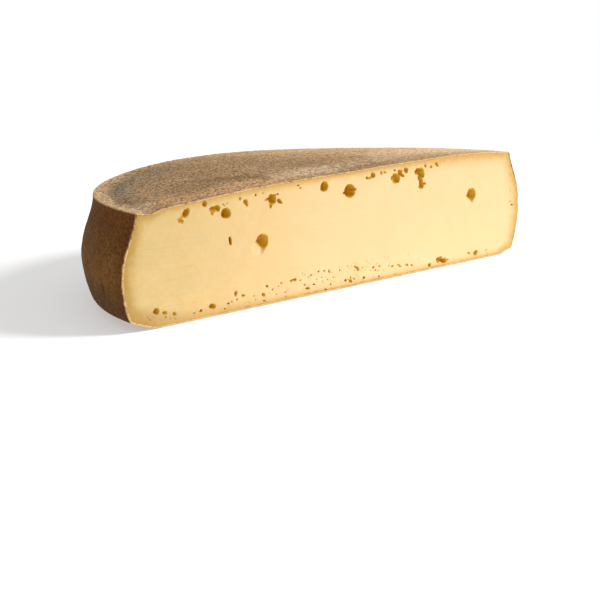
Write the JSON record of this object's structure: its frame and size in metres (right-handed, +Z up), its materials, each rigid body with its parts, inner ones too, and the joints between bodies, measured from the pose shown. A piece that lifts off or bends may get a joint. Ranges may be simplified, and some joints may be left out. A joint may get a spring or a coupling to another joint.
{
  "type": "raclette half wheel",
  "caption": "Half wheel of raclette cheese with a bulging brown rind, a domed top and a flat cut face with round eyes.",
  "frame": {"origin": "on the flat underside, in the middle of the bounding box's footprint", "axes": "+X along the cut face, +Y away from the cut into the rounded side, +Z up from the flat underside"},
  "size_m": [0.3211, 0.1549, 0.0713],
  "materials": {
    "paste": "pale yellow cheese paste, smooth knife cut with a slight sheen and ochre eyes",
    "rind": "dry grey-brown washed rind with a fine suede-like grain, paler at the rim"
  },
  "bodies": {
    "root": {"half_wheel": "paste"}
  },
  "joints": []
}
